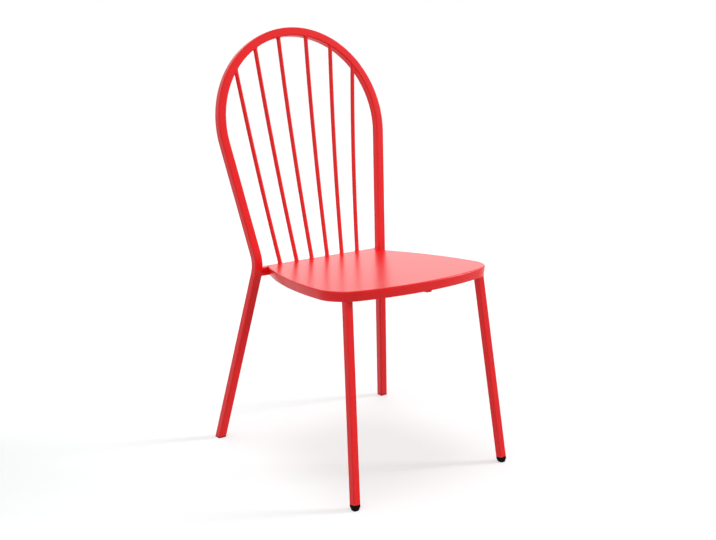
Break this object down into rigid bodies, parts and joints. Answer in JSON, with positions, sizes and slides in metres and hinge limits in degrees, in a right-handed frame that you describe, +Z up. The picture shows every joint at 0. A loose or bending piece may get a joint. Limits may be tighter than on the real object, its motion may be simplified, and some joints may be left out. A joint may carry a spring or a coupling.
{
  "type": "metal bistro chair",
  "caption": "Red armless bistro chair with a bent square tube hoop back, upright round rods, a pressed sheet seat and splayed square tube legs.",
  "frame": {"origin": "middle of the footprint on the floor, under the centre of the bounding box", "axes": "+X to the sitter's left seen from the front, +Y to the back of the chair, +Z up; the chair faces -Y"},
  "size_m": [0.5152, 0.5714, 0.9738],
  "materials": {
    "red_powder_coat": "satin powder coat with a fine orange-peel texture",
    "black_plastic": "matt injection moulded plastic"
  },
  "bodies": {
    "root": {"hoop_frame": "red_powder_coat", "seat_panel": "red_powder_coat", "front_leg_left": "red_powder_coat", "front_leg_right": "red_powder_coat", "rear_rail": "red_powder_coat", "front_rail": "red_powder_coat", "side_rail_left": "red_powder_coat", "side_rail_right": "red_powder_coat", "centre_brace": "red_powder_coat", "spindle_1": "red_powder_coat", "spindle_2": "red_powder_coat", "spindle_3": "red_powder_coat", "spindle_4": "red_powder_coat", "spindle_5": "red_powder_coat", "spindle_6": "red_powder_coat", "spindle_foot_welds": "red_powder_coat", "spindle_top_welds": "red_powder_coat", "rail_welds": "red_powder_coat", "leg_welds": "red_powder_coat", "front_foot_left": "black_plastic", "front_foot_right": "black_plastic", "rear_foot_left": "black_plastic", "rear_foot_right": "black_plastic"}
  },
  "joints": []
}
